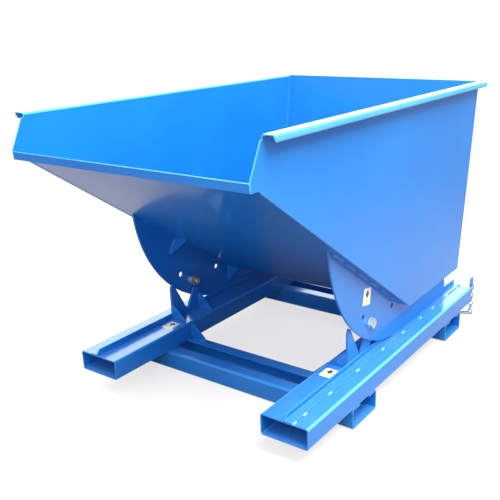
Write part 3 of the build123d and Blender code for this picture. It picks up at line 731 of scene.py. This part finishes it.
# ============================================================================ turned and hexagonal pieces
TURNS = 72
HEX_FLAT = 18 * MM          # from the axis to a flat
CONE = tan(radians(30))     # the turned chamfer's slope
CROWN_R = 17 * MM           # where the chamfer starts
SHANK_R = 12 * MM
THREAD_PITCH = 3 * MM
THREAD_DEPTH = 1.5 * MM
THREAD_STEPS = 6            # rings to one pitch
TIP_CHAMFER = 1.6 * MM
DISH = (14.2 * MM, 13.4 * MM, 0.5 * MM)     # the bolt head's shallow dish: outer and inner radius, depth
NUT_BORE_R = 12.3 * MM
NUT_LEAD = 1.2 * MM
WASHER_T = 4 * MM
WASHER_R, WASHER_BORE_R, WASHER_EASE = 22 * MM, 12.5 * MM, 0.5 * MM
SLEEVE_R, SLEEVE_BORE_R, SLEEVE_EASE = 15 * MM, 12.2 * MM, 0.5 * MM
AXIS_R = 1 * MM             # a flat end's small centre ring


def polar_piece(name, rows, axis_start, side, material, node=None):
    """A zinc piece of the hopper about an X axis. It stands for a CAD node where one is given.

    rows are functions of the angle that give (radius, distance along the axis). Where the last is the
    first, the piece is a ring."""
    closed = rows[0] is rows[-1]
    bm = bmesh.new()
    rings = []
    for row in rows[:-1] if closed else rows:
        ring = []
        for i in range(TURNS):
            turn = 2 * pi * i / TURNS
            radius, along = row(turn)
            spot = Vector((side * along, radius * cos(turn), radius * sin(turn)))
            ring.append(bm.verts.new(axis_start + spot))
        rings.append(ring)
    skin(bm, rings, closed_loop=closed)
    piece = add_piece(name, bm, material, "hopper")
    if node:
        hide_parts(node)


def round_row(radius, along):
    """A round ring."""
    return lambda turn: (radius, along)


def hex_radius(turn):
    """Distance from the axis to a hexagon's side."""
    third = pi / 3
    return HEX_FLAT / cos((turn % third) - third / 2)


def hex_row(along, chamfer):
    """A ring on the hexagon's sides. chamfer is 1 or -1 where the end is turned to a cone, or 0."""
    return lambda turn: (hex_radius(turn), along - chamfer * (hex_radius(turn) - CROWN_R) * CONE)


def thread_row(index, start):
    """A ring of a screw thread. Its groove moves round with the distance, so that it is a helix."""
    def row(turn):
        along = start + index * THREAD_PITCH / THREAD_STEPS
        phase = (along / THREAD_PITCH - turn / (2 * pi)) % 1
        groove = abs(2 * phase - 1)
        return SHANK_R - THREAD_DEPTH * groove, along
    return row


def build_pins():
    """Bolt, nut, two washers and sleeve of each tipping pin, as turned and forged pieces."""
    bolt_low, bolt_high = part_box("right_pin_bolt")
    middle = (bolt_low + bolt_high) / 2
    nut_low, nut_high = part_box("right_pin_nut")
    washer_low, washer_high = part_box("right_pin_washers")
    sleeve_low, sleeve_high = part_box("right_pin_sleeve")
    axis = Vector((0, middle.y, middle.z))
    dish_out, dish_in, dish_depth = DISH
    for name, side in SIDES.items():
        threaded = int((nut_high.x - bolt_low.x - 2 * MM) / THREAD_PITCH * THREAD_STEPS)
        rows = [round_row(AXIS_R, bolt_low.x), round_row(SHANK_R - TIP_CHAMFER, bolt_low.x)]
        rows += [thread_row(i, bolt_low.x + 1.2 * MM) for i in range(threaded)]
        rows += [round_row(SHANK_R, nut_high.x), round_row(SHANK_R, washer_high.x), hex_row(washer_high.x, 0)]
        rows += [hex_row(bolt_high.x, 1), round_row(CROWN_R, bolt_high.x), round_row(dish_out, bolt_high.x)]
        rows += [round_row(dish_in, bolt_high.x - dish_depth), round_row(AXIS_R, bolt_high.x - dish_depth)]
        polar_piece(f"{name}_hex_bolt", rows, axis, side, ZINC, f"{name}_pin_bolt")
        lead = round_row(NUT_BORE_R + NUT_LEAD, nut_low.x)
        rows = [
            lead, round_row(CROWN_R, nut_low.x), hex_row(nut_low.x, -1), hex_row(nut_high.x, 1),
            round_row(CROWN_R, nut_high.x), round_row(NUT_BORE_R, nut_high.x),
            round_row(NUT_BORE_R, nut_low.x + NUT_LEAD), lead,
        ]
        polar_piece(f"{name}_hex_nut", rows, axis, side, DARK_ZINC, f"{name}_pin_nut")
        build_washer(f"{name}_inner_washer", washer_low.x, axis, side)
        build_washer(f"{name}_outer_washer", washer_high.x - WASHER_T, axis, side, f"{name}_pin_washers")
        first = round_row(SLEEVE_BORE_R, sleeve_low.x)
        rows = [
            first, round_row(SLEEVE_R - SLEEVE_EASE, sleeve_low.x),
            round_row(SLEEVE_R, sleeve_low.x + SLEEVE_EASE), round_row(SLEEVE_R, sleeve_high.x),
            round_row(SLEEVE_BORE_R, sleeve_high.x), first,
        ]
        polar_piece(f"{name}_turned_sleeve", rows, axis, side, ZINC, f"{name}_pin_sleeve")


def build_washer(name, start, axis, side, node=None):
    """A washer with eased edges, from start outwards."""
    end, edge, hole, ease = start + WASHER_T, WASHER_R, WASHER_BORE_R, WASHER_EASE
    first = round_row(hole, start + ease)
    rows = [
        first, round_row(hole + ease, start), round_row(edge - ease, start), round_row(edge, start + ease),
        round_row(edge, end - ease), round_row(edge - ease, end), round_row(hole + ease, end),
        round_row(hole, end - ease), first,
    ]
    polar_piece(name, rows, axis, side, ZINC, node)


# ============================================================================ stickers
VINYL_T = 0.25 * MM
VINYL_LIFT = 0.02 * MM      # clear of what it sticks to
EASED = 0.985               # how far a layer's upper edge draws in


def rounded_outline(width, height, radius, steps=6):
    """Points round a rectangle with rounded corners."""
    points = []
    for quarter in range(4):
        sign_x = 1 if quarter in (0, 3) else -1
        sign_y = 1 if quarter in (0, 1) else -1
        for i in range(steps + 1):
            turn = pi / 2 * (quarter + i / steps)
            corner = Vector((sign_x * (width / 2 - radius), sign_y * (height / 2 - radius)))
            points.append(corner + radius * Vector((cos(turn), sin(turn))))
    return points


def label_layer(name, outline, centre, across, upward, thick, lift, material, body):
    """A thin flat layer with a slightly eased upper edge."""
    normal = across.cross(upward)
    bm = bmesh.new()
    rings = []
    for shrink, height in ((1.0, 0.0), (1.0, thick * 0.6), (EASED, thick)):
        ring = []
        for point in outline:
            spot = centre + across * point.x * shrink + upward * point.y * shrink + normal * (lift + height)
            ring.append(bm.verts.new(spot))
        rings.append(ring)
    skin(bm, rings)
    add_piece(name, bm, material, body, crease=30.0)


def sticker(name, centre, across, upward, width, height, body):
    """A blank sticker: white vinyl, a yellow panel and a plain dark diamond, with no lettering."""
    centre, across, upward = Vector(centre), Vector(across).normalized(), Vector(upward).normalized()
    card = rounded_outline(width, height, 3 * MM)
    label_layer(f"{name}_base", card, centre, across, upward, VINYL_T, VINYL_LIFT, LABEL_WHITE, body)
    on_card = VINYL_T + VINYL_LIFT
    panel = rounded_outline(width * 0.74, height * 0.30, 2 * MM)
    spot = centre - upward * height * 0.24
    label_layer(f"{name}_panel", panel, spot, across, upward, VINYL_T * 0.5, on_card, LABEL_YELLOW, body)
    size = min(width, height) * 0.25
    diamond = [Vector((size, 0)), Vector((0, size * 1.25)), Vector((-size, 0)), Vector((0, -size * 1.25))]
    spot = centre + upward * height * 0.14
    label_layer(f"{name}_diamond", diamond, spot, across, upward, VINYL_T * 0.4, on_card, LABEL_DARK, body)


def build_stickers():
    """One sticker on each rail, and one on the outside of each rocker, a little askew."""
    top = RAIL_HIGH.z
    sticker("right_rail_label", (0.3975, -0.283, top), RIGHT, REAR, 0.052, 0.064, "base")
    sticker("left_rail_label", (-0.3975, -0.275, top), RIGHT, REAR, 0.052, 0.064, "base")
    tilt = radians(-10.6)
    level, plumb = Vector((0, cos(tilt), sin(tilt))), Vector((0, -sin(tilt), cos(tilt)))
    for name, side in SIDES.items():
        spot = (side * ROCKER_OUT, -0.1075, 0.4145)
        sticker(f"{name}_rocker_label", spot, level * side, plumb, 0.056, 0.066, "hopper")


# ============================================================================ chain and latch
LINKS = 7
LINK_SIDE = 9 * MM          # from a link's middle to the middle of its side
LINK_WIRE_R = 3.0 * MM
WELD_SWELL = 0.55 * MM
WELD_HALF = 2.2 * MM


def build_chain():
    """Zinc on the chain's CAD links, with the resistance weld's swelling on one side of each link."""
    for index in range(1, LINKS + 1):
        node = f"chain_link_{index}"
        dress(node, CHAIN_ZINC)
        low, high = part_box(node)
        sideways = RIGHT if index % 2 == 1 else REAR
        centre = (low + high) / 2 - sideways * LINK_SIDE
        bm = bmesh.new()
        rings = []
        for i in range(9):
            share = i / 8 * 2 - 1
            radius = LINK_WIRE_R + WELD_SWELL * sqrt(max(0.0, 1 - share * share))
            ring = []
            for j in range(16):
                turn = 2 * pi * j / 16
                spot = Vector((radius * cos(turn), radius * sin(turn), share * WELD_HALF))
                ring.append(bm.verts.new(centre + spot))
            rings.append(ring)
        skin(bm, rings)
        add_piece(f"{node}_weld", bm, CHAIN_ZINC, node, crease=60.0)
    dress("snap_hook", CHAIN_ZINC)
    dress("snap_gate", CHAIN_ZINC)


def build_latch():
    soften("latch_hook", 0.8 * MM)
    dress("latch_pin", ZINC)
    dress("roll_centre_marker", BLUE)


build_floor()
build_light()
build_camera()
build_hopper()
build_base()
build_pins()
build_stickers()
build_chain()
build_latch()
